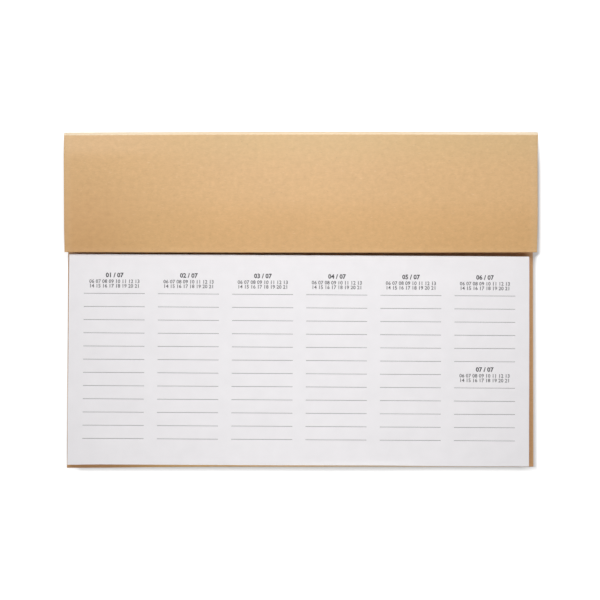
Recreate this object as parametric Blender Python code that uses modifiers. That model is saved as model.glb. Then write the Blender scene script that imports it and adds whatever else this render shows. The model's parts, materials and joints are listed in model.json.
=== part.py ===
"""Desk weekly planner: a creased card cover whose header flap stands over the back panel, with a
tear-off pad of weekly sheets taped to the panel in front of the flap.

Metres, +Z up. The planner lies on the desk at Z = 0, centred on X and Y, with the header at +Y.
"""

import math

import bmesh
import bpy
from mathutils import Matrix

COLLECTION = "desk_weekly_planner"

# Driving dimensions of the pad
SHEET_COUNT = 52
SHEET_WIDTH = 0.290
SHEET_LENGTH = 0.1325
PAPER = 0.0001
PAPER_GAP = 0.00004
PAD_SHIFT = -0.00085
PAD_TURN = math.radians(-0.3)

# Driving dimensions of what holds the pad
TAPE = 0.0001
TAPE_WIDTH = 0.012
TAPE_INSET = 0.004
GLUE_FILM = 0.00015
GLUE_GAP = 0.00015
GLUE_BELOW_LIFTING_SHEETS = 0.0003

# Driving dimensions of the cover
CARD = 0.0008
SIDE_MARGIN = 0.0035
FOOT_MARGIN = 0.0024
SLOT = 0.0018
FLAP_DEPTH = 0.0753
FLAP_LEVEL = 0.0420
FLAP_DROOP = 0.0025
LIP_CLEARANCE = 0.00148
CREASE_RADIUS = 0.0011
CREASE_LEAD = 0.0003
FOLD_GAP = 0.00005
CREASE_STEPS = 8
DROOP_STEPS = 8

# The cover is as large as the pad, its margins and the header
COVER_WIDTH = SHEET_WIDTH + 2 * SIDE_MARGIN
COVER_DEPTH = FOOT_MARGIN + SHEET_LENGTH + SLOT + FLAP_DEPTH
FRONT_Y = -COVER_DEPTH / 2
BACK_Y = COVER_DEPTH / 2

# Heights, from the desk up
SHEET_PITCH = PAPER + PAPER_GAP
TAPE_Z = CARD + PAPER_GAP
PAD_Z = TAPE_Z + TAPE + PAPER_GAP
PAD_TOP_Z = PAD_Z + SHEET_COUNT * SHEET_PITCH - PAPER_GAP
LIFTING_SHEET_Z = PAD_TOP_Z - PAPER - SHEET_PITCH
COVER_TOP_Z = PAD_TOP_Z + LIP_CLEARANCE + CARD + FLAP_DROOP

# The card's neutral line, which keeps its length when a crease opens
NEUTRAL_RADIUS = CREASE_RADIUS + CARD / 2
CREASE_Y = BACK_Y - CARD / 2 - NEUTRAL_RADIUS
LOWER_CREASE_Z = CARD / 2 + NEUTRAL_RADIUS
UPPER_CREASE_Z = COVER_TOP_Z - CARD / 2 - NEUTRAL_RADIUS
PANEL_END = CREASE_LEAD + FOLD_GAP

# A crease opens flat about the point half its length outside the bend's centre
HINGE_OFFSET = NEUTRAL_RADIUS * math.radians(90) / 2
SPINE_HINGE = (0, CREASE_Y + HINGE_OFFSET, LOWER_CREASE_Z - HINGE_OFFSET)
FLAP_HINGE = (0, CREASE_Y + HINGE_OFFSET, UPPER_CREASE_Z + HINGE_OFFSET)

LIP_Y = BACK_Y - FLAP_DEPTH
PAD_HEAD = (PAD_SHIFT, LIP_Y - SLOT, 0)

# Colours are linear
KRAFT = (0.66, 0.41, 0.20)
KRAFT_FOLD = (0.78, 0.58, 0.36)
PAPER_WHITE = (0.82, 0.81, 0.83)
TAPE_CLEAR = (0.70, 0.68, 0.60)
GLUE_AMBER = (0.30, 0.20, 0.11)


def clear_scene():
    for old in list(bpy.data.objects):
        bpy.data.objects.remove(old, do_unlink=True)


def new_collection(name):
    collection = bpy.data.collections.new(name)
    bpy.context.scene.collection.children.link(collection)
    return collection


def new_material(name, colour, roughness):
    material = bpy.data.materials.new(name)
    material.use_nodes = True
    shader = material.node_tree.nodes["Principled BSDF"]
    shader.inputs["Base Color"].default_value = (*colour, 1)
    shader.inputs["Roughness"].default_value = roughness
    shader.inputs["Metallic"].default_value = 0
    return material


def add_object(collection, name, mesh, location, parent=None):
    """A named object at a place that is given in its parent's axes."""
    obj = bpy.data.objects.new(name, mesh)
    obj.location = location
    obj.parent = parent
    collection.objects.link(obj)
    return obj


def difference(point, origin):
    return tuple(a - b for a, b in zip(point, origin))


def slab_mesh(name, width, length, thickness, material):
    """A flat slab whose origin is at the middle of its head edge, on its underside."""
    shape = bmesh.new()
    bmesh.ops.create_cube(shape, size=1, matrix=Matrix.Diagonal((width, length, thickness, 1)))
    bmesh.ops.translate(shape, verts=shape.verts, vec=(0, -length / 2, thickness / 2))
    mesh = bpy.data.meshes.new(name)
    shape.to_mesh(mesh)
    shape.free()
    mesh.materials.append(material)
    return mesh


def card_strip(collection, name, line, origin, material, parent=None, parent_origin=(0, 0, 0)):
    """A piece of the cover: its neutral line in Y and Z, swept across the cover, then thickened."""
    shape = bmesh.new()
    left = -COVER_WIDTH / 2
    points = [shape.verts.new((left, y - origin[1], z - origin[2])) for y, z in line]
    edges = [shape.edges.new(pair) for pair in zip(points, points[1:])]
    swept = bmesh.ops.extrude_edge_only(shape, edges=edges)["geom"]
    across = [part for part in swept if isinstance(part, bmesh.types.BMVert)]
    bmesh.ops.translate(shape, verts=across, vec=(COVER_WIDTH, 0, 0))
    mesh = bpy.data.meshes.new(name)
    shape.to_mesh(mesh)
    shape.free()
    mesh.materials.append(material)
    strip = add_object(collection, name, mesh, difference(origin, parent_origin), parent)
    thickness = strip.modifiers.new("card", "SOLIDIFY")
    thickness.thickness = CARD
    thickness.offset = 0
    thickness.use_even_offset = True
    return strip


def crease_line(centre_z, first_angle):
    """A quarter bend of the neutral line, with a short straight lead at each end."""
    bend = []
    for step in range(CREASE_STEPS + 1):
        angle = first_angle + math.radians(90) * step / CREASE_STEPS
        bend.append((math.cos(angle) * NEUTRAL_RADIUS, math.sin(angle) * NEUTRAL_RADIUS))
    last_angle = first_angle + math.radians(90)
    lead_in = (
        bend[0][0] + CREASE_LEAD * math.sin(first_angle),
        bend[0][1] - CREASE_LEAD * math.cos(first_angle),
    )
    lead_out = (
        bend[-1][0] - CREASE_LEAD * math.sin(last_angle),
        bend[-1][1] + CREASE_LEAD * math.cos(last_angle),
    )
    return [(CREASE_Y + y, centre_z + z) for y, z in [lead_in, *bend, lead_out]]


def flap_line():
    """Level from the spine, then drooping to the free edge."""
    top = COVER_TOP_Z - CARD / 2
    level_end = BACK_Y - FLAP_LEVEL
    line = [(CREASE_Y - PANEL_END, top)]
    for step in range(DROOP_STEPS + 1):
        share = step / DROOP_STEPS
        line.append((level_end + (LIP_Y - level_end) * share, top - FLAP_DROOP * share**2))
    return line


def build_cover(collection):
    back_line = [(FRONT_Y, CARD / 2), (CREASE_Y - PANEL_END, CARD / 2)]
    back_kraft = new_material("back_panel_kraft", KRAFT, 0.85)
    card_strip(collection, "back_panel", back_line, (0, 0, 0), back_kraft)

    lower_kraft = new_material("lower_crease_kraft", KRAFT_FOLD, 0.8)
    lower_line = crease_line(LOWER_CREASE_Z, math.radians(-90))
    card_strip(collection, "lower_crease", lower_line, (0, 0, 0), lower_kraft)

    spine_y = CREASE_Y + NEUTRAL_RADIUS
    spine_line = [(spine_y, LOWER_CREASE_Z + PANEL_END), (spine_y, UPPER_CREASE_Z - PANEL_END)]
    spine_kraft = new_material("spine_panel_kraft", KRAFT, 0.85)
    spine = card_strip(collection, "spine_panel", spine_line, SPINE_HINGE, spine_kraft)

    upper_kraft = new_material("upper_crease_kraft", KRAFT_FOLD, 0.8)
    upper_line = crease_line(UPPER_CREASE_Z, 0)
    card_strip(
        collection, "upper_crease", upper_line, SPINE_HINGE, upper_kraft, spine, SPINE_HINGE
    )

    flap_kraft = new_material("header_flap_kraft", KRAFT, 0.85)
    card_strip(
        collection, "header_flap", flap_line(), FLAP_HINGE, flap_kraft, spine, SPINE_HINGE
    )


def build_pad(collection):
    """Every sheet's origin is on its head edge, which is the line it lifts about."""
    pad = add_object(collection, "pad", None, PAD_HEAD)
    pad.rotation_euler.z = PAD_TURN

    tape_material = new_material("mounting_tape_clear", TAPE_CLEAR, 0.5)
    tape_length = SHEET_WIDTH - 2 * TAPE_INSET
    tape_mesh = slab_mesh("mounting_tape", tape_length, TAPE_WIDTH, TAPE, tape_material)
    add_object(collection, "mounting_tape", tape_mesh, (0, -TAPE_INSET, TAPE_Z), pad)

    glue_material = new_material("padding_glue_amber", GLUE_AMBER, 0.35)
    glue_height = LIFTING_SHEET_Z - GLUE_BELOW_LIFTING_SHEETS - PAD_Z
    glue_mesh = slab_mesh("padding_glue", SHEET_WIDTH, GLUE_FILM, glue_height, glue_material)
    add_object(collection, "padding_glue", glue_mesh, (0, GLUE_GAP + GLUE_FILM, PAD_Z), pad)

    sheet_material = new_material("sheet_paper", PAPER_WHITE, 0.9)
    sheet_mesh = slab_mesh("sheet", SHEET_WIDTH, SHEET_LENGTH, PAPER, sheet_material)
    for number in range(1, SHEET_COUNT + 1):
        height = PAD_TOP_Z - PAPER - (number - 1) * SHEET_PITCH
        add_object(collection, f"sheet_{number:02d}", sheet_mesh, (0, 0, height), pad)


clear_scene()
planner = new_collection(COLLECTION)
build_cover(planner)
build_pad(planner)
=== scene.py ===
# %% [markdown]
# # A desk weekly planner
# One sheet of kraft card is creased twice. That gives a back panel, a narrow spine and a header flap
# that stands over the panel. A tear-off pad of weekly pages is taped to the panel, just in front of the
# flap.
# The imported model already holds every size, place and joint. It is loaded first, and this lesson models
# what the eye sees around it, so nothing has to be fitted afterwards. All sizes are in metres.

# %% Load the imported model
import json
import math
import random

import bmesh
import bpy
from mathutils import Matrix, Vector


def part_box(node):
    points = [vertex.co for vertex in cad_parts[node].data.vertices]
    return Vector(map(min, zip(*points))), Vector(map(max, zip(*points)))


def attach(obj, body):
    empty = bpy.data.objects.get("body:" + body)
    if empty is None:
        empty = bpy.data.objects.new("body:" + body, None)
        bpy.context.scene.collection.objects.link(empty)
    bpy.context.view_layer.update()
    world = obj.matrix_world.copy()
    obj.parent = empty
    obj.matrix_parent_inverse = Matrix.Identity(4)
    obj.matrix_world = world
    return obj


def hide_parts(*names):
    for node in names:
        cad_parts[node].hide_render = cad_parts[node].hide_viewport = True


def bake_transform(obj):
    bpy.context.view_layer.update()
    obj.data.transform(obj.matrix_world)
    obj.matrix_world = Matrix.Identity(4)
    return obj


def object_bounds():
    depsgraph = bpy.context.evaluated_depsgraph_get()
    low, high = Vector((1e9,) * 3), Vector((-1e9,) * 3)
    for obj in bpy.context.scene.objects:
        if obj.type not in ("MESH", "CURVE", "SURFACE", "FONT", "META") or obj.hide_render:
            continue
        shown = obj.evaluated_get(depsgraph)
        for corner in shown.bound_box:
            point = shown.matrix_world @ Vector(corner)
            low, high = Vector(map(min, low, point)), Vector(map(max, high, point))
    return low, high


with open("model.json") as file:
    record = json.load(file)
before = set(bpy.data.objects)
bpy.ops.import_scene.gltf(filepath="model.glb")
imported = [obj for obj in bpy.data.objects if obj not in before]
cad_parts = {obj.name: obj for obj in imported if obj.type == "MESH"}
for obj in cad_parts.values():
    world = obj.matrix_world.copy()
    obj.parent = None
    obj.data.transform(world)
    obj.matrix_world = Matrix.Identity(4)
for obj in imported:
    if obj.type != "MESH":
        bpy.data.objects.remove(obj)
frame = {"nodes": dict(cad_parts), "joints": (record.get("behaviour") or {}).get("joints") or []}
cad_low, cad_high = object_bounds()
print("CAD box, mm:", [round(1000 * side, 1) for side in cad_high - cad_low])

# %% [markdown]
# ## Working on one object at a time
# An operator acts on all that is selected, and loading leaves every solid selected. So each step starts
# by clearing the selection. The helpers below do that, and they pick parts of a mesh by their place.

# %% Helpers for selecting
TINY = 0.00001


def clear_selection():
    if bpy.context.object and bpy.context.object.mode != "OBJECT":
        bpy.ops.object.mode_set(mode="OBJECT")
    bpy.ops.object.select_all(action="DESELECT")


def choose(*objects):
    """Select only these objects. The first becomes active."""
    clear_selection()
    for obj in objects:
        obj.select_set(True)
    bpy.context.view_layer.objects.active = objects[0]


def pick_edges(obj, wanted):
    """Select only the edges that pass a test, in edit mode."""
    choose(obj)
    bpy.ops.object.mode_set(mode="EDIT")
    bpy.ops.mesh.select_mode(type="EDGE")
    bpy.ops.mesh.select_all(action="DESELECT")
    shape = bmesh.from_edit_mesh(obj.data)
    for edge in shape.edges:
        edge.select_set(bool(wanted(edge)))
    bmesh.update_edit_mesh(obj.data)


def apply_modifier(obj, kind, **settings):
    """Add a modifier, set it and apply it at once."""
    choose(obj)
    modifier = obj.modifiers.new(kind.lower(), kind)
    for name, value in settings.items():
        setattr(modifier, name, value)
    bpy.ops.object.modifier_apply(modifier=modifier.name)


def move_vertices(obj, rule):
    """Give every vertex a new place, which a rule works out from its old one."""
    for vertex in obj.data.vertices:
        vertex.co = rule(vertex.co.copy())
    obj.data.update()


print("helpers ready")

# %% [markdown]
# ## The camera
# The photograph looks almost straight down, from about 0.6 m. The header's ends look a little wider than
# the panel's, because they are nearer to the lens. A long lens without shift gives just that, so its
# place and turn come from the planner's edges in the picture.

# %% Camera
CAMERA_PLACE = (-0.0029, -0.0075, 0.600)
CAMERA_TURN = (0.775, -0.229, 0.014)
CAMERA_LENS = 56.33
CAMERA_NEAR = 0.01
SENSOR = 36.0

clear_selection()
camera_turn = [math.radians(turn) for turn in CAMERA_TURN]
bpy.ops.object.camera_add(location=CAMERA_PLACE, rotation=camera_turn)
camera = bpy.context.object
camera.name = "photo_camera"
camera.data.sensor_width = SENSOR
camera.data.lens = CAMERA_LENS
camera.data.clip_start = CAMERA_NEAR
bpy.context.scene.camera = camera
print("camera lens, mm:", camera.data.lens)

# %% [markdown]
# ## Nodes
# A finish is a tree of nodes, which is hard to read when it is written out node by node. So these
# helpers add a node, set it and link it in one call.

# %% Node helpers
def new_finish(name):
    """A node material, its tree and its shader."""
    finish = bpy.data.materials.new(name)
    finish.use_nodes = True
    return finish, finish.node_tree, finish.node_tree.nodes["Principled BSDF"]


def feed(tree, node, inputs):
    """Link an output into each named input of a node, or set the input to a plain value."""
    for name, source in inputs.items():
        if isinstance(source, bpy.types.NodeSocket):
            tree.links.new(source, node.inputs[name])
        else:
            node.inputs[name].default_value = source


def add_node(tree, kind, inputs=None, **settings):
    node = tree.nodes.new("ShaderNode" + kind)
    for name, value in settings.items():
        setattr(node, name, value)
    feed(tree, node, inputs or {})
    return node


def math_node(tree, operation, first, second=0.0):
    return add_node(tree, "Math", {0: first, 1: second}, operation=operation).outputs[0]


def above(tree, value, low, high):
    """0 below the low value and 1 above the high one, with a smooth step between."""
    limits = {"Value": value, "From Min": low, "From Max": high}
    return add_node(tree, "MapRange", limits, interpolation_type="SMOOTHSTEP").outputs["Result"]


def within(tree, value, rising, falling):
    """1 between two limits and 0 outside. Each limit is a pair of values with a smooth step between."""
    return math_node(tree, "SUBTRACT", above(tree, value, *rising), above(tree, value, *falling))


def own_place(tree):
    """Where a point lies in its object's own axes."""
    return add_node(tree, "TexCoord").outputs["Object"]


def split_place(tree, place):
    """The first two numbers of a place."""
    node = add_node(tree, "SeparateXYZ", {"Vector": place})
    return node.outputs["X"], node.outputs["Y"]


def seen_directly(tree):
    """1 for camera, mirror and glass rays, 0 for bounced light."""
    path = add_node(tree, "LightPath")
    seen = math_node(tree, "MAXIMUM", path.outputs["Is Camera Ray"], path.outputs["Is Glossy Ray"])
    return math_node(tree, "MAXIMUM", seen, path.outputs["Is Transmission Ray"])


print("node helpers ready")

# %% [markdown]
# ## The floor
# The planner lies on white, and a shadow shows only close to its front and right edges. Enough light
# to whiten a plain floor would bleach the planner too. So the floor is a pale sheet that also glows, for
# the camera and in reflections. Along the front and right edges the glow is far weaker, which paints a
# shadow band there that stays in place on the floor, and the lamps' own shadow adds to it. Elsewhere the
# floor turns white wherever the light reaches it.

# %% Glow of the floor
# Strength beside the right and front edges, kept low to paint a shadow, in the open, and far off
RIGHT_SHADOW_GLOW = 0.03
FRONT_SHADOW_GLOW = 0.28
FULL_GLOW = 0.60
FAR_GLOW = 1.0
FAR = (0.10, 0.60)
# How far the painted shadow leads past the right edge, and how wide it is there and in front
BASE_SHADOW_LEAD = 0.0005
HEADER_SHADOW_LEAD = 0.0030
HEADER_SHADOW_FADE = (0.082, 0.118)
RIGHT_PAINTED_SHADOW = 0.0032
FRONT_PAINTED_SHADOW = 0.0040
# Where the painted front shadow is narrower, and the left corner, which has none
NARROWING = 0.5
NARROW_FROM = (0.05, 0.10)
NARROW_TO = (0.138, 0.146)
CORNER_WITHOUT_SHADOW = (-0.146, -0.139)
header_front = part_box("header_flap")[0].y


def edge_glow_with_painted_shadow(tree, past, beside, reach):
    """0 inside an edge. Past it the glow grows from one strength to the full one, then to white. A low
    first strength paints a shadow beside the edge.
    """
    start = math_node(tree, "MULTIPLY", above(tree, past, -TINY, 0), beside)
    rise = math_node(tree, "MULTIPLY", above(tree, past, 0, reach), FULL_GLOW - beside)
    far = math_node(tree, "MULTIPLY", above(tree, past, *FAR), FAR_GLOW - FULL_GLOW)
    return math_node(tree, "ADD", math_node(tree, "ADD", start, rise), far)


def past_right_edge(tree, x, y):
    """Distance right of the painted shadow's line, which leads further out beside the header."""
    beside_header = within(tree, y, (header_front - HEADER_SHADOW_LEAD, header_front), HEADER_SHADOW_FADE)
    lead = math_node(tree, "MULTIPLY", beside_header, HEADER_SHADOW_LEAD - BASE_SHADOW_LEAD)
    return math_node(tree, "SUBTRACT", x, math_node(tree, "ADD", lead, cad_high.x + BASE_SHADOW_LEAD))


def past_front_edge(tree, x, y):
    """Distance in front of the planner, counted faster where the painted shadow is narrower."""
    narrowing = math_node(tree, "MULTIPLY", within(tree, x, NARROW_FROM, NARROW_TO), NARROWING)
    past = math_node(tree, "SUBTRACT", cad_low.y, y)
    past = math_node(tree, "MULTIPLY", past, math_node(tree, "ADD", narrowing, 1.0))
    lit = math_node(tree, "SUBTRACT", 1.0, above(tree, x, *CORNER_WITHOUT_SHADOW))
    return math_node(tree, "ADD", past, math_node(tree, "MULTIPLY", lit, FRONT_PAINTED_SHADOW))


def floor_glow_with_painted_shadow(tree):
    """The strongest of the four edges' glows. Only the right and front edges have a painted shadow."""
    x, y = split_place(tree, own_place(tree))
    glows = [
        edge_glow_with_painted_shadow(tree, past_right_edge(tree, x, y), RIGHT_SHADOW_GLOW, RIGHT_PAINTED_SHADOW),
        edge_glow_with_painted_shadow(tree, past_front_edge(tree, x, y), FRONT_SHADOW_GLOW, FRONT_PAINTED_SHADOW),
        edge_glow_with_painted_shadow(tree, math_node(tree, "SUBTRACT", cad_low.x, x), FULL_GLOW, FRONT_PAINTED_SHADOW),
        edge_glow_with_painted_shadow(tree, math_node(tree, "SUBTRACT", y, cad_high.y), FULL_GLOW, FRONT_PAINTED_SHADOW),
    ]
    strongest = RIGHT_SHADOW_GLOW
    for glow in glows:
        strongest = math_node(tree, "MAXIMUM", glow, strongest)
    return strongest


print("glows:", RIGHT_SHADOW_GLOW, FRONT_SHADOW_GLOW, FULL_GLOW)

# %% Floor
FLOOR_SIZE = 12.0
FLOOR_DROP = 0.00005
FLOOR_GREY = 0.75

clear_selection()
bpy.ops.mesh.primitive_plane_add(size=FLOOR_SIZE, location=(0, 0, -FLOOR_DROP))
floor = bpy.context.object
floor.name = "floor"
bpy.ops.object.transform_apply(location=True)
floor_finish, tree, shader = new_finish("pale_floor")
# The glow is low beside the front and right edges, which paints a shadow band there.
feed(tree, shader, {
    "Base Color": (FLOOR_GREY, FLOOR_GREY, FLOOR_GREY, 1),
    "Roughness": 1.0,
    "Specular IOR Level": 0.0,
    "Emission Color": (1, 1, 1, 1),
    "Emission Strength": math_node(tree, "MULTIPLY", seen_directly(tree), floor_glow_with_painted_shadow(tree)),
})
floor.data.materials.append(floor_finish)
print("floor, m:", FLOOR_SIZE)

# %% [markdown]
# ## Lamps
# Spots would draw hard shadows, so the lamps are soft boxes. A wide one behind the header gives the card
# its sheen. Two strips, one in front and one behind, make the middle a little brighter than the ends. No
# lamp stands right over the planner, so little light falls into the slot in front of the flap. With
# these powers a colour renders about as it is written.

# %% Lamps
# Each lamp: its name, its place, where it aims, its size and its power in watts
LAMPS = (
    ("wide_lamp", (0, 0.34, 0.70), (0, 0.05, 0), (1.20, 0.30), 4.31),
    ("front_strip", (0, -0.22, 0.34), (0, -0.22, 0), (0.15, 0.36), 0.42),
    ("back_strip", (0, 0.28, 0.34), (0, 0.28, 0), (0.15, 0.36), 0.38),
)


def add_lamp(name, place, aim, size, power):
    """A soft rectangular lamp that isn't seen itself."""
    clear_selection()
    turn = (Vector(place) - Vector(aim)).to_track_quat("Z", "Y").to_euler()
    bpy.ops.object.light_add(type="AREA", location=place, rotation=turn)
    lamp = bpy.context.object
    lamp.name = name
    lamp.data.shape = "RECTANGLE"
    lamp.data.size, lamp.data.size_y = size
    lamp.data.energy = power
    lamp.visible_camera = False


for lamp in LAMPS:
    add_lamp(*lamp)
print("lamps:", len(LAMPS))

# %% [markdown]
# ## Sky
# A white sky fills the shadows. At full strength it would wash them out, so it lights the planner weakly
# and is white only to the camera and in reflections.

# %% Sky
SKY_FILL = 0.155

sky = bpy.data.worlds.new("white_sky")
sky.use_nodes = True
bpy.context.scene.world = sky
tree = sky.node_tree
white_share = math_node(tree, "MULTIPLY", seen_directly(tree), 1 - SKY_FILL)
strength = math_node(tree, "ADD", white_share, SKY_FILL)
feed(tree, tree.nodes["Background"], {"Color": (1, 1, 1, 1), "Strength": strength})
bpy.context.scene.view_settings.view_transform = "Standard"
print("sky:", SKY_FILL)

# %% [markdown]
# ## The card's shape
# The cover is one card, so it is modelled as one middle layer that is bent and then thickened, not as
# boxes. It is made in two pieces that meet halfway up the spine, because a piece can bend across only
# one joint. Each starts as a flat grid. Its back edge is spun round the fold, as a creasing machine
# rolls it, and is then drawn on along the spine.

# %% Sizes of the card
board_low, board_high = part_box("back_panel")
flap_low, flap_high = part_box("header_flap")
spine_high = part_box("spine_panel")[1]

CARD = board_high.z - board_low.z
CARD_WIDTH = board_high.x - board_low.x
FRONT_Y = board_low.y
LIP_Y = flap_low.y
FOLD_RADIUS = 0.0011
FOLD_MIDDLE = FOLD_RADIUS + CARD / 2
FOLD_Y = spine_high.y - CARD - FOLD_RADIUS
LOWER_FOLD_Z = CARD / 2 + FOLD_MIDDLE
UPPER_FOLD_Z = flap_high.z - CARD / 2 - FOLD_MIDDLE
SEAM_Z = (LOWER_FOLD_Z + UPPER_FOLD_Z) / 2
print("card, mm:", round(1000 * CARD, 2), "fold line y, mm:", round(1000 * FOLD_Y, 2))

# %% Bend a flat card
BOARD_COLUMNS = 48
BOARD_ROWS = 2
FOLD_STEPS = 8
SPINE_STEPS = 4


def add_grid(name, columns, rows, width, length, middle, turn=(0, 0, 0)):
    """A grid of faces, with its size and place in its mesh."""
    clear_selection()
    bpy.ops.mesh.primitive_grid_add(
        x_subdivisions=columns, y_subdivisions=rows, size=1, location=middle, rotation=turn
    )
    grid = bpy.context.object
    grid.name = name
    grid.scale = (width, length, 1)
    bpy.ops.object.transform_apply(location=True, rotation=True, scale=True)
    return grid


def flat_card(name, near, far, height, columns, rows):
    """The card's middle layer, as a flat grid from a near to a far line."""
    return add_grid(name, columns, rows, CARD_WIDTH, far - near, (0, (near + far) / 2, height))


def bend_back_edge(card, fold_z, quarter_turn):
    """Spin the back edge round a fold, then draw it along the spine to the seam."""
    pick_edges(card, lambda edge: all(end.co.y > FOLD_Y - TINY for end in edge.verts))
    bpy.ops.mesh.spin(steps=FOLD_STEPS, angle=quarter_turn, center=(0, FOLD_Y, fold_z), axis=(1, 0, 0))
    rise = (SEAM_Z - fold_z) / SPINE_STEPS
    for _ in range(SPINE_STEPS):
        bpy.ops.mesh.extrude_region_move(TRANSFORM_OT_translate={"value": (0, 0, rise)})
    bpy.ops.mesh.select_all(action="SELECT")
    bpy.ops.mesh.remove_doubles(threshold=TINY)
    bpy.ops.mesh.normals_make_consistent(inside=False)
    bpy.ops.object.mode_set(mode="OBJECT")


back_board = flat_card("back_board", FRONT_Y, FOLD_Y, CARD / 2, BOARD_COLUMNS, BOARD_ROWS)
bend_back_edge(back_board, LOWER_FOLD_Z, math.radians(-90))
print("back board faces:", len(back_board.data.polygons))

# %% [markdown]
# ## The header flap
# The flap is the same card over the upper fold. It lies level behind and droops towards its free edge,
# which has no support but its own stiffness. Near its left end it rises a little from the fold, is bent
# close to it and runs straight down from there, as the light on it shows. The blade that cut the free
# edge has turned it up by a hair.
# It could be bent with a lattice, but a height for each vertex is exact and smooth. The rule is used
# once the card has its flat map.

# %% Header flap
FLAP_COLUMNS = 72
FLAP_ROWS = 72
FLAP_DROOP = flap_high.z - CARD - flap_low.z
LEVEL_END_Y = 0.064
LEFT_BEND_Y = 0.095
LEFT_BEND = 0.008
LEFT_RISE = 0.055
LEFT_REACH = 0.110
LEFT_LIP_DROOP = 0.0012
LEFT_LIP_DEPTH = 0.022
LIP_CURL = 0.00035
LIP_CURL_DEPTH = 0.0040


def smooth_step(value):
    """0 below 0, 1 above 1, and an even S between them."""
    share = min(max(value, 0), 1)
    return share * share * (3 - 2 * share)


def bent_drop(y):
    """A slight rise from the fold, a short round bend, a straight slope, and a droop at the free edge."""
    past = max(LEFT_BEND_Y - y, 0)
    run = past - LEFT_BEND / 2 if past > LEFT_BEND else past**2 / (2 * LEFT_BEND)
    fall = FLAP_DROOP - LEFT_LIP_DROOP + LEFT_RISE * (FOLD_Y - LIP_Y)
    bend = fall / (LEFT_BEND_Y - LIP_Y - LEFT_BEND / 2)
    lip_droop = LEFT_LIP_DROOP * max(1 - (y - LIP_Y) / LEFT_LIP_DEPTH, 0) ** 2
    return bend * run - LEFT_RISE * (FOLD_Y - y) + lip_droop


def curved_drop(y):
    """Level at first, then drooping more and more, as on the rest of the flap."""
    return FLAP_DROOP * max((LEVEL_END_Y - y) / (LEVEL_END_Y - LIP_Y), 0) ** 2


def droop_flap(place):
    """Lower the flap in front of its fold."""
    if place.y < FOLD_Y - TINY:
        leftness = smooth_step(1 - (place.x + CARD_WIDTH / 2) / LEFT_REACH)
        place.z -= curved_drop(place.y) * (1 - leftness) + bent_drop(place.y) * leftness
        place.z += LIP_CURL * max(1 - (place.y - LIP_Y) / LIP_CURL_DEPTH, 0) ** 2
    return place


flap_middle_z = flap_high.z - CARD / 2
header_card = flat_card("header_card", LIP_Y, FOLD_Y, flap_middle_z, FLAP_COLUMNS, FLAP_ROWS)
bend_back_edge(header_card, UPPER_FOLD_Z, math.radians(90))
print("header card faces:", len(header_card.data.polygons))

# %% [markdown]
# ## A flat map of the card
# Fibres and wear follow the card round its folds, and they stay where they are when a fold opens. So the
# finish can't read a place in the room. Each vertex gets its place on the unfolded card instead, in
# metres: across it, and along it from the front edge. This is the card's own UV map. It is made while
# every vertex still lies on the ideal line.

# %% Unfolded map
CARD_MAP = "unfolded_card"
QUARTER_FOLD = FOLD_MIDDLE * math.radians(90)
LOWER_FOLD_RUN = FOLD_Y - FRONT_Y
UPPER_FOLD_RUN = LOWER_FOLD_RUN + QUARTER_FOLD + UPPER_FOLD_Z - LOWER_FOLD_Z
FLAP_RUN = UPPER_FOLD_RUN + QUARTER_FOLD
CARD_RUN = FLAP_RUN + FOLD_Y - LIP_Y


def run_along_card(place):
    """Distance from the front edge, measured along the card's middle layer."""
    behind = place.y - FOLD_Y
    if place.z < LOWER_FOLD_Z:
        turn = math.atan2(max(behind, 0), LOWER_FOLD_Z - place.z)
        return LOWER_FOLD_RUN + min(behind, 0) + FOLD_MIDDLE * turn
    if place.z < UPPER_FOLD_Z + TINY:
        return LOWER_FOLD_RUN + QUARTER_FOLD + place.z - LOWER_FOLD_Z
    turn = math.atan2(place.z - UPPER_FOLD_Z, max(behind, 0))
    return UPPER_FOLD_RUN + FOLD_MIDDLE * turn - min(behind, 0)


def map_unfolded(card):
    layer = card.data.uv_layers.new(name=CARD_MAP)
    for corner in card.data.loops:
        place = card.data.vertices[corner.vertex_index].co
        layer.data[corner.index].uv = (place.x, run_along_card(place))


for card in (back_board, header_card):
    map_unfolded(card)
print("unfolded length, mm:", round(1000 * CARD_RUN, 1))

# %% [markdown]
# ## Out of true
# A cut and folded card is never quite square. Towards the front the guillotine let its right end run in
# and its left end run out, and the front edge isn't quite straight. The creasing rule pressed the board
# out a hair at the right end of the upper fold. The spine's left end leans in a little and its middle
# leans out, so the fold shows as a very slight bow.
# All this is less than half a millimetre. Vertices could be pulled one by one, but a rule in the place
# across and along the card keeps the edges smooth.

# %% Trim and lean the card
RIGHT_END_IN = 0.00023
RIGHT_END_OUT = 0.00025
RIGHT_FOLD_OUT = 0.00044
RIGHT_FOLD_REACH = 0.020
LEFT_END_IN = 0.00012
LEFT_CORNER_OUT = 0.00045
FRONT_CORNER_OUT = 0.0002
FRONT_EDGE_IN = 0.00045
FRONT_CORNER = 0.10
LIP_OUT = 0.00015
LIP_BOW = 0.0002
SPINE_BOW = 0.0004
LEFT_END_LEAN = -0.0004
RIGHT_END_LEAN = 0.0002


def middle_share(x):
    """1 at the middle of the card's width, falling to 0 at its ends."""
    return 1 - (2 * x / CARD_WIDTH) ** 2


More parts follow.
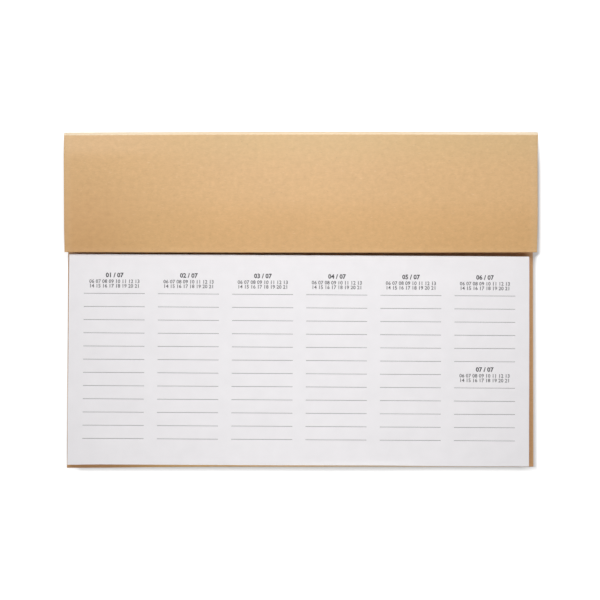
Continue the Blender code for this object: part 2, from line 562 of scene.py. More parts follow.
def trim_card(place):
    """Cut the card a hair out of square."""
    run = run_along_card(place)
    side = 2 * place.x / CARD_WIDTH
    board_share = max(1 - run / LOWER_FOLD_RUN, 0)
    fold_share = max(1 - abs(run - FLAP_RUN) / RIGHT_FOLD_REACH, 0) ** 2
    flap_share = max(run - FLAP_RUN, 0) / (CARD_RUN - FLAP_RUN)
    corner = 1 - smooth_step((place.x + CARD_WIDTH / 2) / FRONT_CORNER)
    place.y += board_share * (FRONT_EDGE_IN - (FRONT_EDGE_IN + FRONT_CORNER_OUT) * corner)
    place.y -= flap_share * (LIP_OUT + LIP_BOW * middle_share(place.x))
    right_out = RIGHT_END_OUT * run / CARD_RUN - RIGHT_END_IN + RIGHT_FOLD_OUT * fold_share
    place.x += right_out * max(side, 0)
    place.x += (LEFT_END_IN - LEFT_CORNER_OUT * board_share**2) * max(-side, 0)
    return place


def lean_spine(place):
    """Lean the spine, not at all at the lower fold and fully at the upper one."""
    upright = min(max((place.z - LOWER_FOLD_Z) / (UPPER_FOLD_Z - LOWER_FOLD_Z), 0), 1)
    along_flap = min(max((place.y - LIP_Y) / (FOLD_Y - LIP_Y), 0), 1)
    lean = LEFT_END_LEAN + (RIGHT_END_LEAN - LEFT_END_LEAN) * (0.5 + place.x / CARD_WIDTH)
    out = lean + SPINE_BOW * middle_share(place.x)
    place.y += out * upright * along_flap**2
    return place


move_vertices(back_board, trim_card)
move_vertices(header_card, trim_card)
move_vertices(header_card, droop_flap)
move_vertices(back_board, lean_spine)
move_vertices(header_card, lean_spine)
print("free edge at y, mm:", round(1000 * min(v.co.y for v in header_card.data.vertices), 2))

# %% [markdown]
# ## Kraft
# Kraft card is brown from unbleached fibres that lie mostly along the machine. Close up it is mottled:
# soft clouds, short streaks, fine grain, and a few dark and pale specks. A picture of card would blur
# close up. So several noise textures of different scale make this, each with a small say in the colour,
# and the finer ones also raise the surface a little.

# %% Texture helpers
# A Mix node has sockets for several kinds of data, and these are its colours
MIX_FIRST = 6
MIX_SECOND = 7
MIX_RESULT = 2


def stretched(tree, vector, scale):
    return add_node(tree, "Mapping", {"Vector": vector, "Scale": scale}).outputs["Vector"]


def noise(tree, vector, marks, detail=2.0, roughness=0.5):
    """Smooth noise. Its marks per metre are one number, or three where the directions differ."""
    if isinstance(marks, tuple):
        vector = stretched(tree, vector, marks)
        marks = 1
    inputs = {"Vector": vector, "Scale": marks, "Detail": detail, "Roughness": roughness}
    return add_node(tree, "TexNoise", inputs).outputs["Fac"]


def ramp(tree, factor, low, high, from_value=0.3, to_value=0.7):
    """Run smoothly from one colour to another."""
    node = add_node(tree, "ValToRGB", {"Fac": factor})
    first, last = node.color_ramp.elements
    first.position, first.color = from_value, (*low, 1)
    last.position, last.color = to_value, (*high, 1)
    return node.outputs["Color"]


def mix(tree, factor, first, second):
    """Go from one colour to another by a factor."""
    inputs = {"Factor": factor}
    for name, colour in ((MIX_FIRST, first), (MIX_SECOND, second)):
        inputs[name] = (*colour, 1) if isinstance(colour, tuple) else colour
    return add_node(tree, "Mix", inputs, data_type="RGBA").outputs[MIX_RESULT]


def weighted(tree, *pairs):
    """The sum of textures, each times its weight."""
    total = 0.0
    for texture, weight in pairs:
        total = math_node(tree, "ADD", math_node(tree, "MULTIPLY", texture, weight), total)
    return total


def paint(tree, shader, colour, roughness):
    feed(tree, shader, {"Base Color": colour, "Roughness": roughness})


def raise_surface(tree, shader, height, distance, strength):
    inputs = {"Height": height, "Distance": distance, "Strength": strength}
    feed(tree, shader, {"Normal": add_node(tree, "Bump", inputs).outputs["Normal"]})


print("texture helpers ready")

# %% Kraft textures
# Marks per metre, across and along the card where they differ
CLOUDS = 30
MOTTLE = (260, 320, 1)
FIBRES = (500, 1600, 1)
GRAIN = 2600
KRAFT_SHARES = {"clouds": 0.12, "mottle": 0.46, "fibres": 0.22, "grain": 0.20}
KRAFT_SPECK = (0.330, 0.190, 0.085)
# Pale for specks and the cut ends, and as painted sheen behind the flap's left bend.
KRAFT_PALE_AND_SHEEN = (0.860, 0.650, 0.410)
# Each kind of speck: marks per metre, the noise from which it shows, its colour and its strength
SPECKS = (
    ((520, 1000, 1), (0.70, 0.78), KRAFT_SPECK, 0.3),
    ((330, 2400, 1), (0.68, 0.78), KRAFT_PALE_AND_SHEEN, 0.4),
)


def kraft_textures(tree, flat):
    """The card's textures on its flat map, by name."""
    return {
        "clouds": noise(tree, flat, CLOUDS, detail=3),
        "mottle": noise(tree, flat, MOTTLE, detail=4, roughness=0.7),
        "fibres": noise(tree, flat, FIBRES, detail=3),
        "grain": noise(tree, flat, GRAIN),
    }


def kraft_colour(tree, flat, textures, dark, light):
    """The unworn card: mottled from a dark to a light brown, with specks."""
    mottled = weighted(tree, *[(textures[name], share) for name, share in KRAFT_SHARES.items()])
    colour = ramp(tree, mottled, dark, light)
    for marks, limits, speck, strength in SPECKS:
        shows = above(tree, noise(tree, flat, marks, detail=1), *limits)
        colour = mix(tree, math_node(tree, "MULTIPLY", shows, strength), colour, speck)
    return colour


print("kraft textures:", list(KRAFT_SHARES))

# %% [markdown]
# ## Creases, wear and painted light
# Where the card is creased, the stretched fibres outside turn pale and the crushed ones inside turn
# dark. On the outside that pale band also paints the highlight of the rounded fold, and the fold's ends
# are painted paler still as highlight. The front margin is painted lighter than the pad's shade leaves
# it, except at its ends, and most of all right of its middle. The flap's left end has painted shade at
# its free edge and a painted sheen behind its bend. The rest of the flap is painted a shade yellower by
# the fold, as sheen, and redder towards its free edge, as shade. The cut ends of the card are a little
# paler than the rest.
# Such marks could be painted on the mesh, but only as finely as its vertices lie. So a list of patches,
# most of them painted light and shade, is laid over the card's colour, each with soft limits across and
# along the flat map.

# %% Worn patches
# Painted light: the front margin is made lighter than the pad's shade leaves it.
MARGIN_PAINTED_LIGHT = (0.950, 0.600, 0.250)
MARGIN_PAINTED_LIGHT_PALER = (0.950, 0.780, 0.560)
# Painted sheen as a yellower tint by the fold, and painted shade as a redder tint towards the free edge.
FOLD_SHEEN_TINT = (0.360, 0.410, 0.160)
LIP_SHADE_TINT = (0.880, 0.450, 0.180)
# Painted shade at the left end of the flap's free edge.
LEFT_EDGE_PAINTED_SHADE = (0.455, 0.190, 0.065)
# Limits across the card
PAST_LEFT = (-CARD_WIDTH, -CARD_WIDTH / 2 - TINY)
PAST_END = (CARD_WIDTH / 2 + TINY, CARD_WIDTH)
CUT_END = (CARD_WIDTH / 2 - 0.006, CARD_WIDTH / 2 - 0.001)
MARGIN_LIGHT_SPAN = ((-0.130, -0.070), (0.125, 0.143))
MARGIN_LIGHT_RIGHT_SPAN = ((0.000, 0.040), (0.110, 0.140))
SHADED_END_SPAN = (PAST_LEFT, (-0.145, -0.080))
BENT_END = (PAST_LEFT, (-0.145, -0.060))
UNBENT = ((-0.130, -0.030), PAST_END)
# Limits along the card
PAST_FRONT = (-TINY, 0)
PAST_FOLD = (FLAP_RUN, FLAP_RUN + 0.001)
PAST_LIP = (CARD_RUN + TINY, CARD_RUN + 2 * TINY)
FRONT_MARGIN = (PAST_FRONT, (0.0020, 0.0034))
BEHIND_BEND = (PAST_FOLD, (FLAP_RUN + 0.007, FLAP_RUN + 0.014))
BY_FOLD = (PAST_FOLD, (FLAP_RUN + 0.001, FLAP_RUN + 0.026))
BY_LIP = ((CARD_RUN - 0.048, CARD_RUN - 0.016), PAST_LIP)
SHADED_EDGE_SPAN = ((CARD_RUN - 0.054, CARD_RUN - 0.018), PAST_LIP)
# Each patch: how it is measured across, its limits across and along, its colour and its strength
WEAR_AND_PAINTED_LIGHT = (
    ("across", MARGIN_LIGHT_SPAN, FRONT_MARGIN, MARGIN_PAINTED_LIGHT, 1.0),
    ("across", MARGIN_LIGHT_RIGHT_SPAN, FRONT_MARGIN, MARGIN_PAINTED_LIGHT_PALER, 0.7),
    ("across", UNBENT, BY_FOLD, FOLD_SHEEN_TINT, 0.12),
    ("across", UNBENT, BY_LIP, LIP_SHADE_TINT, 0.10),
    ("across", SHADED_END_SPAN, SHADED_EDGE_SPAN, LEFT_EDGE_PAINTED_SHADE, 0.22),
    # Painted sheen behind the bend at the flap's left end
    ("across", BENT_END, BEHIND_BEND, KRAFT_PALE_AND_SHEEN, 0.10),
    ("from the middle", (CUT_END, PAST_END), (PAST_FRONT, PAST_LIP), KRAFT_PALE_AND_SHEEN, 0.14),
)
EVEN_PATCHING = 0.45


def add_wear_and_painted_light(tree, colour, measures, fibres):
    """Lay the patches of wear and painted light over a colour. Some fibres take them more than others."""
    uneven = math_node(tree, "ADD", fibres, EVEN_PATCHING)
    for measure, across, along, tint, strength in WEAR_AND_PAINTED_LIGHT:
        patch = math_node(tree, "MULTIPLY", within(tree, measures[measure], *across), strength)
        patch = math_node(tree, "MULTIPLY", patch, within(tree, measures["along"], *along))
        colour = mix(tree, math_node(tree, "MULTIPLY", patch, uneven), colour, tint)
    return colour


print("worn patches:", len(WEAR_AND_PAINTED_LIGHT))

# %% Creases
FOLD_WEAR = 0.0014
FOLD_RAGGED = 0.6 * FOLD_WEAR
FOLD_LIMIT = (0.9 * FOLD_WEAR, 1.6 * FOLD_WEAR)
FOLD_END = (0.05, 0.10)


def crease(tree, colour, measures, fibres, fold, fold_end):
    """Turn the card to another colour along both folds, with a ragged limit and other ends."""
    distances = []
    for start in (LOWER_FOLD_RUN, UPPER_FOLD_RUN):
        past = math_node(tree, "SUBTRACT", measures["along"], start + QUARTER_FOLD / 2)
        distances.append(math_node(tree, "ABSOLUTE", past))
    from_fold = math_node(tree, "MINIMUM", *distances)
    ragged = math_node(tree, "ADD", from_fold, math_node(tree, "MULTIPLY", fibres, FOLD_RAGGED))
    creased = mix(tree, above(tree, measures["from the middle"], *FOLD_END), fold, fold_end)
    return mix(tree, above(tree, ragged, *FOLD_LIMIT), creased, colour)


print("creased on each side, mm:", round(1000 * FOLD_WEAR, 1))

# %% [markdown]
# ## The card's finishes
# The card's inner face, which shows around the pad and in the slot, is redder than its outer face.
# Otherwise they are the same, so one function makes both from their own colours. The cut edge shows the
# plies of the board, so it has a finish of its own.

# %% Kraft finishes
OUTER_DARK = (0.541, 0.318, 0.127)
OUTER_LIGHT = (0.724, 0.447, 0.197)
INNER_DARK = (0.535, 0.262, 0.098)
INNER_LIGHT = (0.715, 0.368, 0.152)
# The outer crease: pale stretched fibres with the fold's highlight painted in, and paler ends as painted
# highlight.
FOLD_PALE_AND_HIGHLIGHT = (0.860, 0.680, 0.450)
FOLD_END_HIGHLIGHT = (0.920, 0.760, 0.540)
FOLD_CRUSHED = (0.430, 0.220, 0.085)
KRAFT_ROUGHNESS = 0.29
KRAFT_RELIEF = 0.00006
EDGE_DARK = (0.500, 0.290, 0.130)
EDGE_LIGHT = (0.780, 0.530, 0.300)
EDGE_ROUGHNESS = 0.85
EDGE_RELIEF = 0.00008
PLIES = (300, 300, 9000)
FUZZ = 4000


def kraft_face(name, dark, light, fold, fold_end):
    finish, tree, shader = new_finish(name)
    flat = add_node(tree, "UVMap", uv_map=CARD_MAP).outputs["UV"]
    x, run = split_place(tree, flat)
    measures = {"across": x, "from the middle": math_node(tree, "ABSOLUTE", x), "along": run}
    textures = kraft_textures(tree, flat)
    clouds, fibres, grain = textures["clouds"], textures["fibres"], textures["grain"]
    colour = kraft_colour(tree, flat, textures, dark, light)
    colour = crease(tree, colour, measures, fibres, fold, fold_end)
    colour = add_wear_and_painted_light(tree, colour, measures, fibres)
    paint(tree, shader, colour, weighted(tree, (grain, 0.12), (clouds, 0.08), (1.0, KRAFT_ROUGHNESS)))
    relief = weighted(tree, (fibres, 0.6), (grain, 0.4))
    raise_surface(tree, shader, relief, KRAFT_RELIEF, strength=0.35)
    return finish


def card_edge():
    finish, tree, shader = new_finish("card_cut_edge")
    place = own_place(tree)
    plies = noise(tree, place, PLIES)
    fuzz = noise(tree, place, FUZZ)
    layered = weighted(tree, (plies, 0.6), (fuzz, 0.4))
    paint(tree, shader, ramp(tree, layered, EDGE_DARK, EDGE_LIGHT), EDGE_ROUGHNESS)
    relief = weighted(tree, (plies, 0.5), (fuzz, 0.5))
    raise_surface(tree, shader, relief, EDGE_RELIEF, strength=0.6)
    return finish


kraft_finishes = [
    kraft_face("kraft_outer_face", OUTER_DARK, OUTER_LIGHT, FOLD_PALE_AND_HIGHLIGHT, FOLD_END_HIGHLIGHT),
    kraft_face("kraft_inner_face", INNER_DARK, INNER_LIGHT, FOLD_CRUSHED, FOLD_CRUSHED),
    card_edge(),
]
print("kraft finishes:", [finish.name for finish in kraft_finishes])

# %% [markdown]
# ## Thickness and cut edges
# A Solidify modifier grows the middle layer both ways to the board's thickness. It gives the cut edge a
# finish of its own, and another to the side that the layer's normals point away from. So the normals are
# first turned to the outside of the cover. A knife leaves the cut edge almost sharp, with a small round
# that catches the light, so the free edges are bevelled. The edges at the seam stay sharp, because there
# the card goes on.

# %% Thicken the cover
EDGE_ROUND = 0.00014
RIM_ANGLE = math.radians(50)


def face_outside(card, up):
    """Turn the normals to the cover's outside, which is up or down on the flat part."""
    upward_area = sum(face.normal.z * face.area for face in card.data.polygons)
    if (upward_area > 0) != up:
        choose(card)
        bpy.ops.object.mode_set(mode="EDIT")
        bpy.ops.mesh.select_all(action="SELECT")
        bpy.ops.mesh.flip_normals()
        bpy.ops.object.mode_set(mode="OBJECT")


def is_cut_edge(edge):
    """Sharp, and not on the seam."""
    on_seam = all(abs(end.co.z - SEAM_Z) < TINY for end in edge.verts)
    return edge.calc_face_angle(0) > RIM_ANGLE and not on_seam


def thicken(card):
    for finish in kraft_finishes:
        card.data.materials.append(finish)
    apply_modifier(card, "SOLIDIFY", thickness=CARD, offset=0, use_even_offset=True,
                   material_offset=1, material_offset_rim=2)
    pick_edges(card, is_cut_edge)
    bpy.ops.mesh.bevel(offset=EDGE_ROUND, segments=2, affect="EDGES")
    bpy.ops.object.mode_set(mode="OBJECT")
    bpy.ops.object.shade_smooth_by_angle(angle=RIM_ANGLE)


for card in (back_board, header_card):
    face_outside(card, up=card == header_card)
    thicken(card)
    print(card.name, "faces:", len(card.data.polygons))

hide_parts("back_panel", "lower_crease", "spine_panel")
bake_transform(back_board)
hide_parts("upper_crease", "header_flap")
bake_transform(header_card)

# %% [markdown]
# ## Paper
# The pages are plain uncoated white paper. Light passes through its fibres unevenly, which shows as
# faint clouds, and its surface has a fine tooth. One flat white would look like plastic, so the face
# gets both. The cut edges of the pad are a stack of thin lines, so they get a finish that changes from
# page to page.

# %% Paper finishes
PAPER_GREY = (0.850, 0.831, 0.848)
PAPER_WHITE = (0.924, 0.901, 0.921)
# A third number of 0 keeps a pattern the same at every height
PAPER_CLOUDS = (110, 110, 0)
PAPER_TOOTH = (2800, 2800, 0)
PAPER_ROUGHNESS = 0.70
PAPER_SHEEN = 0.05
PAPER_RELIEF = 0.00003
LEAF_GREY = (0.76, 0.755, 0.75)
LEAF_WHITE = (0.93, 0.925, 0.92)
LEAVES = (40, 40, 9000)
LEAF_FUZZ = 5000
LEAF_ROUGHNESS = 0.9
LEAF_RELIEF = 0.00002


def page_face():
    finish, tree, shader = new_finish("page_face")
    place = own_place(tree)
    clouds = noise(tree, place, PAPER_CLOUDS, detail=3)
    tooth = noise(tree, place, PAPER_TOOTH)
    cloudy = weighted(tree, (clouds, 0.75), (tooth, 0.25))
    colour = ramp(tree, cloudy, PAPER_GREY, PAPER_WHITE, from_value=0.1, to_value=0.9)
    paint(tree, shader, colour, weighted(tree, (tooth, 0.1), (1.0, PAPER_ROUGHNESS)))
    feed(tree, shader, {"Sheen Weight": PAPER_SHEEN})
    raise_surface(tree, shader, tooth, PAPER_RELIEF, strength=0.25)
    return finish


def page_edge():
    finish, tree, shader = new_finish("page_cut_edge")
    place = own_place(tree)
    leaves = noise(tree, place, LEAVES, detail=1)
    paint(tree, shader, ramp(tree, leaves, LEAF_GREY, LEAF_WHITE), LEAF_ROUGHNESS)
    raise_surface(tree, shader, noise(tree, place, LEAF_FUZZ), LEAF_RELIEF, strength=0.4)
    return finish


paper_finishes = [page_face(), page_edge()]
print("paper finishes:", [finish.name for finish in paper_finishes])

# %% [markdown]
# ## The shape of a page
# A page is never a flat plate. It cockles a little with the damp in the air, the glue pulls its head
# edge down, and right of the middle its foot curls up and back, where fingers lift it. The pages lie on
# each other, so they all share these forms, and the lowest page is flat on the panel.
# Cloth could be simulated for this, but the forms are slight. A sum of waves gives them at once, and the
# same for every page.

# %% Sizes of the pad
# The top pages, each with the body that moves it
TOP_PAGES = {1: "top_sheet", 2: "second_sheet", 3: "cover_back"}
PAGE_WIDTH = 0.2902
PAGE_LENGTH = 0.1322
HEAD_INSET = 0.00014
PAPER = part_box("sheet_01")[1].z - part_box("sheet_01")[0].z
page_names = sorted(name for name in frame["nodes"] if name.startswith("sheet_"))
PAGE_COUNT = len(page_names)

lift_joint = next(joint for joint in frame["joints"] if joint["name"] == "sheet_lift")
head_middle = Vector(lift_joint["pos_m"])
pad_turn = math.atan2(-lift_joint["axis"][1], -lift_joint["axis"][0])
pad_place = Matrix.Translation((head_middle.x, head_middle.y, 0)) @ Matrix.Rotation(pad_turn, 4, "Z")
pad_place = pad_place @ Matrix.Translation((0, -HEAD_INSET, 0))
print("pages:", PAGE_COUNT, "turned, degrees:", round(math.degrees(pad_turn), 2))

# %% Rule for a page's height
COCKLE = 0.00010
# Each wave: how many lie across and down the page, where it starts and its share
COCKLES = (
    (3.2, 1.1, 0.4, 1.0),
    (-4.3, 2.3, 1.9, 0.8),
    (6.1, -1.7, 3.1, 0.6),
    (2.4, 3.6, 5.0, 0.7),
    (-7.7, -2.9, 0.9, 0.4),
)
HELD_FLAT = 0.2
HEAD_ROLL = 0.00050
HEAD_ROLL_LENGTH = 0.0022
FOOT_CURL = 0.0007
FOOT_CURL_BACK = 0.0003
FOOT_CURL_LENGTH = 0.0045
FOOT_CURL_X = 0.038
FOOT_CURL_REACH = 0.060


def foot_curl(x, y):
    """1 where the foot curls most, falling to 0 up the page and towards its ends."""
    curled = smooth_step(1 - abs(x - FOOT_CURL_X) / FOOT_CURL_REACH)
    return curled * max(1 - (PAGE_LENGTH + y) / FOOT_CURL_LENGTH, 0) ** 2


def page_height(x, y):
    """How far the top page stands off a flat plate at a place."""
    across = x / PAGE_WIDTH
    down = -y / PAGE_LENGTH
    swell = 0.0
    for waves_across, waves_down, start, share in COCKLES:
        swell += share * (1 + math.sin(math.tau * (waves_across * across + waves_down * down) + start))
    height = COCKLE * swell * smooth_step(down / HELD_FLAT)
    height -= HEAD_ROLL * max(1 + y / HEAD_ROLL_LENGTH, 0) ** 2
    return height + FOOT_CURL * foot_curl(x, y)


def page_share(number):
    """1 for the top page, falling to 0 for the lowest."""
    return (PAGE_COUNT - number) / (PAGE_COUNT - 1)


print("curled foot stands up, mm:", round(1000 * page_height(FOOT_CURL_X, -PAGE_LENGTH), 2))

# %% [markdown]
# ## Making a page
# A page starts as a grid in its own axes, across and down from its head. An even grid that is fine
# enough for head and foot, where the page bends most, would be too heavy, so the rows are drawn
# closer together there. The knife left the left corner of the foot a hair longer. The sheet gets its
# thickness while it is flat, and is then lifted to its form, turned and moved onto the pad, which sits
# slightly askew.

# %% Make a page
FINE_COLUMNS = 96
FINE_ROWS = 44
ROW_CROWDING = 0.8
FOOT_CORNER = 0.020
FOOT_CORNER_OUT = 0.00035


def crowd_rows(place):
    """Draw the rows of a grid towards head and foot."""
    down = -place.y / PAGE_LENGTH
    down -= ROW_CROWDING * math.sin(math.tau * down) / math.tau
    place.y = -down * PAGE_LENGTH
    return place


def trim_foot(place):
    """Let the left corner of the foot run out a hair."""
    corner = smooth_step(1 - (place.x + PAGE_WIDTH / 2) / FOOT_CORNER)
    place.y *= 1 + corner * FOOT_CORNER_OUT / PAGE_LENGTH
    return place


def lay_on_pad(obj, number, jitter=(0, 0)):
    """Move a piece from a page's own axes onto the pad."""
    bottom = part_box(page_names[number - 1])[0].z
    share = page_share(number)

    def place_on_pad(place):
        height = bottom + place.z + share * page_height(place.x, place.y)
        back = share * FOOT_CURL_BACK * foot_curl(place.x, place.y)
        return pad_place @ Vector((place.x + jitter[0], place.y + jitter[1] + back, height))

    move_vertices(obj, place_on_pad)


def make_page(name, number, columns, rows, jitter=(0, 0)):
    page = add_grid(name, columns, rows, PAGE_WIDTH, PAGE_LENGTH, (0, -PAGE_LENGTH / 2, 0))
    for finish in paper_finishes:
        page.data.materials.append(finish)
    move_vertices(page, crowd_rows)
    move_vertices(page, trim_foot)
    apply_modifier(page, "SOLIDIFY", thickness=PAPER, offset=1, material_offset_rim=1)
    lay_on_pad(page, number, jitter)
    bpy.ops.object.shade_smooth_by_angle(angle=RIM_ANGLE)
    return page


top_pages = {}
for number in TOP_PAGES:
    top_pages[number] = make_page(f"page_{number:02d}", number, FINE_COLUMNS, FINE_ROWS)
print("top pages:", [len(page.data.polygons) for page in top_pages.values()])

# %% [markdown]
# ## The rest of the pad
# The pages below the third show only at their edges. A solid block would do from above, but from the
# side the pad is a stack of leaves, each a hair's breadth out of line. So every page is made, with a
# coarser grid. They never move apart, so they are joined into one piece.

# %% Pad block
COARSE_COLUMNS = 24
COARSE_ROWS = 12
PAGE_JITTER = 0.00010
shuffle = random.Random(52)


def make_block(first, last):
    pages = []
    for number in range(first, last + 1):
        jitter = (shuffle.uniform(-PAGE_JITTER, PAGE_JITTER), shuffle.uniform(-PAGE_JITTER, PAGE_JITTER))
        pages.append(make_page(f"block_page_{number:02d}", number, COARSE_COLUMNS, COARSE_ROWS, jitter))
    choose(*pages)
    bpy.ops.object.join()
    pages[0].name = "pad_block"
    return pages[0]


pad_block = make_block(len(TOP_PAGES) + 1, PAGE_COUNT)
print("pad block faces:", len(pad_block.data.polygons))

# %% [markdown]
# ## Seating the pages
# The top page tears off, the second lifts and the rest stay. So each piece rides on the body that makes
# its move, and stands for the solids of its own sheets.

# %% Seat the pages
for number, body in TOP_PAGES.items():
    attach(top_pages[number], body)
    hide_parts(page_names[number - 1])
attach(pad_block, "cover_back")
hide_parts(*page_names[len(TOP_PAGES):])
print("seated pages:", PAGE_COUNT)

# %% [markdown]
# ## Ink
# Ink could be painted in the paper's finish, but then it would have to be drawn from a texture. As thin
# raised strips and figures it stays sharp at any distance. Printed ink is never one even black, and the
# rules are greyer than the headings. So each ink runs from dark to light.

# %% Ink finishes
INK_PATCHES = (3500, 3500, 0)
INK_ROUGHNESS = 0.6


def ink(name, dark, light):
    finish, tree, shader = new_finish(name)
    patchy = noise(tree, own_place(tree), INK_PATCHES)
    paint(tree, shader, ramp(tree, patchy, dark, light), INK_ROUGHNESS)
    return finish


rule_ink = ink("rule_ink", (0.117, 0.109, 0.113), (0.210, 0.198, 0.204))
heading_ink = ink("heading_ink", (0.030, 0.030, 0.034), (0.065, 0.065, 0.070))
hour_ink = ink("hour_ink", (0.060, 0.060, 0.064), (0.120, 0.120, 0.125))
print("inks:", rule_ink.name, heading_ink.name, hour_ink.name)

# %% [markdown]
# ## Ruled lines
# Each page is ruled in six columns of twelve lines. In the last column a second heading takes the place
# of one line, so that seven days fit. One line is modelled and copied. It is cut into short pieces,
# because a single face could not follow a cockled page.

# %% Ruled lines
COLUMN_COUNT = 6
COLUMN_PITCH = 0.0467
COLUMN_WIDTH = 0.0384
PAGE_MARGIN = 0.0095
FIRST_COLUMN_X = -PAGE_WIDTH / 2 + PAGE_MARGIN + COLUMN_WIDTH / 2
LINE_COUNT = 12
LINE_PITCH = 0.00829
FIRST_LINE_Y = -0.0249
LINE_WEIGHT = 0.00028
LINE_PIECES = 13
SECOND_HEADING_LINE = 6


def column_x(column):
    return FIRST_COLUMN_X + column * COLUMN_PITCH


def line_y(line):
    return FIRST_LINE_Y - line * LINE_PITCH


def copy_to(obj, x, y, z=0):
    """A copy with a mesh of its own, moved in its mesh."""
    double = obj.copy()
    double.data = obj.data.copy()
    bpy.context.collection.objects.link(double)
    double.data.transform(Matrix.Translation((x, y, z)))
    return double


def rule_page():
    pattern = add_grid("ruled_line", LINE_PIECES, 1, COLUMN_WIDTH, LINE_WEIGHT, (0, 0, 0))
    pattern.data.materials.append(rule_ink)
    lines = []
    for column in range(COLUMN_COUNT):
        for line in range(LINE_COUNT):
            second_heading = column == COLUMN_COUNT - 1 and line == SECOND_HEADING_LINE
            if not second_heading:
                lines.append(copy_to(pattern, column_x(column), line_y(line)))
    bpy.data.objects.remove(pattern)
    return lines


ruling = rule_page()
print("ruled lines:", len(ruling))

# %% [markdown]
# ## Headings
# Over each column's ruling stands a bold heading with two rows of small print. Here they are plain
# numbers: the day out of seven, and below it the hours of the day. Figures could be drawn as outlines,
# but a text object has them ready, and its offset makes them bolder. It is then made a mesh, to be
# joined to the lines.

# %% Headings
HEADING_RISE = 0.0103
HEADING_SIZE = 0.0039
HEADING_BOLD = 0.00013
HOUR_SIZE = 0.0032
HOUR_BOLD = 0.00005
HOUR_RISES = (0.0066, 0.0037)
FIRST_HOUR = 6
HOURS_IN_ROW = 8
DAY_COUNT = 7
CURVE_STEPS = 2


def figures(words, x, y, size, finish, bold):
    """Plain figures as a flat mesh, centred on a place."""
    clear_selection()
    bpy.ops.object.text_add(location=(x, y, 0))
    text = bpy.context.object
    text.data.body = words
    text.data.size = size
    text.data.align_x = "CENTER"
    text.data.resolution_u = CURVE_STEPS
    text.data.offset = bold
    text.data.materials.append(finish)
    bpy.ops.object.convert(target="MESH")
    bpy.ops.object.transform_apply(location=True)
    return bpy.context.object


def heading(day, column, line):
    """A day's number in bold over two rows of hours, just above a ruled line."""
    x, y = column_x(column), line_y(line)
    count = f"{day:02d} / {DAY_COUNT:02d}"
    pieces = [figures(count, x, y + HEADING_RISE, HEADING_SIZE, heading_ink, HEADING_BOLD)]
    for row, rise in enumerate(HOUR_RISES):
        first = FIRST_HOUR + row * HOURS_IN_ROW
        hours = " ".join(f"{hour:02d}" for hour in range(first, first + HOURS_IN_ROW))
        pieces.append(figures(hours, x, y + rise, HOUR_SIZE, hour_ink, HOUR_BOLD))
    return pieces


headings = []
for day in range(1, DAY_COUNT + 1):
    column = min(day, COLUMN_COUNT) - 1
    line = 0 if day <= COLUMN_COUNT else SECOND_HEADING_LINE + 1
    headings += heading(day, column, line)
print("heading pieces:", len(headings))

# %% [markdown]
# ## Printing
# Lines and figures are joined into one plate, as a printer would set them, and given the ink's
# thickness. The top page alone would do at rest, but the next two show when pages are lifted or torn
# off. So each of the three gets a copy, which follows its cockles and moves with it.

# %% Print the top pages
INK = 0.000010
INK_GAP = 0.000008
FIGURE_MERGE = 0.000001
PRINT_TURN = math.radians(-0.07)

choose(*ruling, *headings)
bpy.ops.object.join()
print_plate = bpy.context.object
print_plate.name = "print_plate"
pick_edges(print_plate, lambda edge: True)
bpy.ops.mesh.remove_doubles(threshold=FIGURE_MERGE)
bpy.ops.object.mode_set(mode="OBJECT")
apply_modifier(print_plate, "SOLIDIFY", thickness=INK, offset=1)
print_plate.data.transform(Matrix.Rotation(PRINT_TURN, 4, "Z"))

for number, body in TOP_PAGES.items():
    printed = copy_to(print_plate, 0, 0, PAPER + INK_GAP)
    printed.name = f"print_{number:02d}"
    lay_on_pad(printed, number)
    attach(printed, body)
bpy.data.objects.remove(print_plate)
print("print faces:", len(printed.data.polygons))

# %% [markdown]
# ## Padding glue
# The sheets are held at their head by a brushed film of glue, which lets them go one by one. The film is
# thin and uneven, with the brush's streaks in it, and its upper edge wanders. A flat strip with bump
# would show a ruled edge when a page is lifted. So an upright grid is shaped by a few waves and then
# thickened.

# %% Padding glue
GLUE_COLUMNS = 200
GLUE_ROWS = 8
GLUE_FILM = 0.00010
GLUE_GAP = 0.00006
GLUE_STREAK = 0.00004
GLUE_WANDER = 0.00025
# Each wave, in radians: per metre across, per metre up, and where it starts
STREAK_WAVES = ((900, 0, 0), (2130, 0, 0.7), (410, 140, 0))
WANDER_WAVES = ((63, 0, 0), (151, 0, 1.3))
glue_low, glue_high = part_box("padding_glue")
glue_height = glue_high.z - glue_low.z


def wave_mean(waves, place):
    """The mean of a few sine waves at a place, from -1 to 1."""
    heights = [math.sin(across * place.x + up * place.z + start) for across, up, start in waves]
    return sum(heights) / len(heights)


def brush_film(place):
    """Streak the film, let its upper edge wander, and place it on the pad's head."""
    streak = GLUE_STREAK * (1 + wave_mean(STREAK_WAVES, place))
    up_film = (place.z - glue_low.z) / glue_height
    wander = GLUE_WANDER * up_film * (wave_mean(WANDER_WAVES, place) - 1)
    return pad_place @ Vector((place.x, GLUE_GAP + streak, place.z + wander))


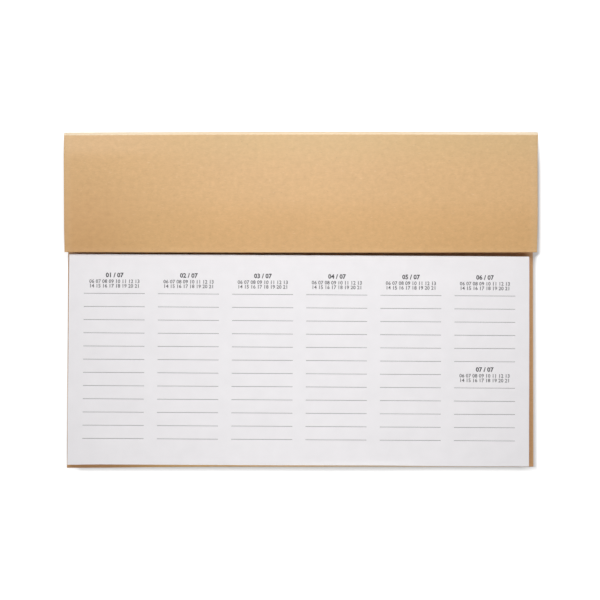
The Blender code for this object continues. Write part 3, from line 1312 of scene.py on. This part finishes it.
glue_middle = (0, 0, (glue_low.z + glue_high.z) / 2)
upright = (math.radians(90), 0, 0)
glue_film = add_grid("glue_film", GLUE_COLUMNS, GLUE_ROWS, PAGE_WIDTH, glue_height, glue_middle, upright)
move_vertices(glue_film, brush_film)
apply_modifier(glue_film, "SOLIDIFY", thickness=GLUE_FILM, offset=-1)
bpy.ops.object.shade_smooth_by_angle(angle=RIM_ANGLE)
print("glue film faces:", len(glue_film.data.polygons))

# %% Finish of the glue
GLUE_DARK = (0.20, 0.12, 0.06)
GLUE_LIGHT = (0.40, 0.28, 0.16)
GLUE_ROUGHNESS = 0.2
GLUE_RELIEF = 0.00004
BRUSH_MARKS = (900, 900, 60)

glue_finish, tree, shader = new_finish("dried_glue")
brushed = noise(tree, own_place(tree), BRUSH_MARKS, detail=3)
glue_roughness = weighted(tree, (brushed, 0.3), (1.0, GLUE_ROUGHNESS))
paint(tree, shader, ramp(tree, brushed, GLUE_DARK, GLUE_LIGHT), glue_roughness)
raise_surface(tree, shader, brushed, GLUE_RELIEF, strength=0.4)
glue_film.data.materials.append(glue_finish)
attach(glue_film, "cover_back")
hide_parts("padding_glue")
print("glue finish:", glue_finish.name)

# %% [markdown]
# ## Mounting tape
# A strip of double-sided tape holds the pad to the panel. It is as flat as the solid that stands for it.
# So it isn't modelled again, and that solid only gets a finish: a pale film, clouded by small bubbles.

# %% Mounting tape
TAPE_GREY = (0.62, 0.60, 0.52)
TAPE_PALE = (0.78, 0.76, 0.68)
TAPE_ROUGHNESS = 0.3
TAPE_BUBBLES = 900

tape_finish, tree, shader = new_finish("tape_film")
bubbles = noise(tree, own_place(tree), TAPE_BUBBLES)
tape_roughness = weighted(tree, (bubbles, 0.3), (1.0, TAPE_ROUGHNESS))
paint(tree, shader, ramp(tree, bubbles, TAPE_GREY, TAPE_PALE), tape_roughness)
tape = frame["nodes"]["mounting_tape"]
tape.data.materials.clear()
tape.data.materials.append(tape_finish)
print("tape finish:", tape_finish.name)

# %% [markdown]
# ## Last step
# The selection is cleared at the end.

# %% Clear the selection
clear_selection()
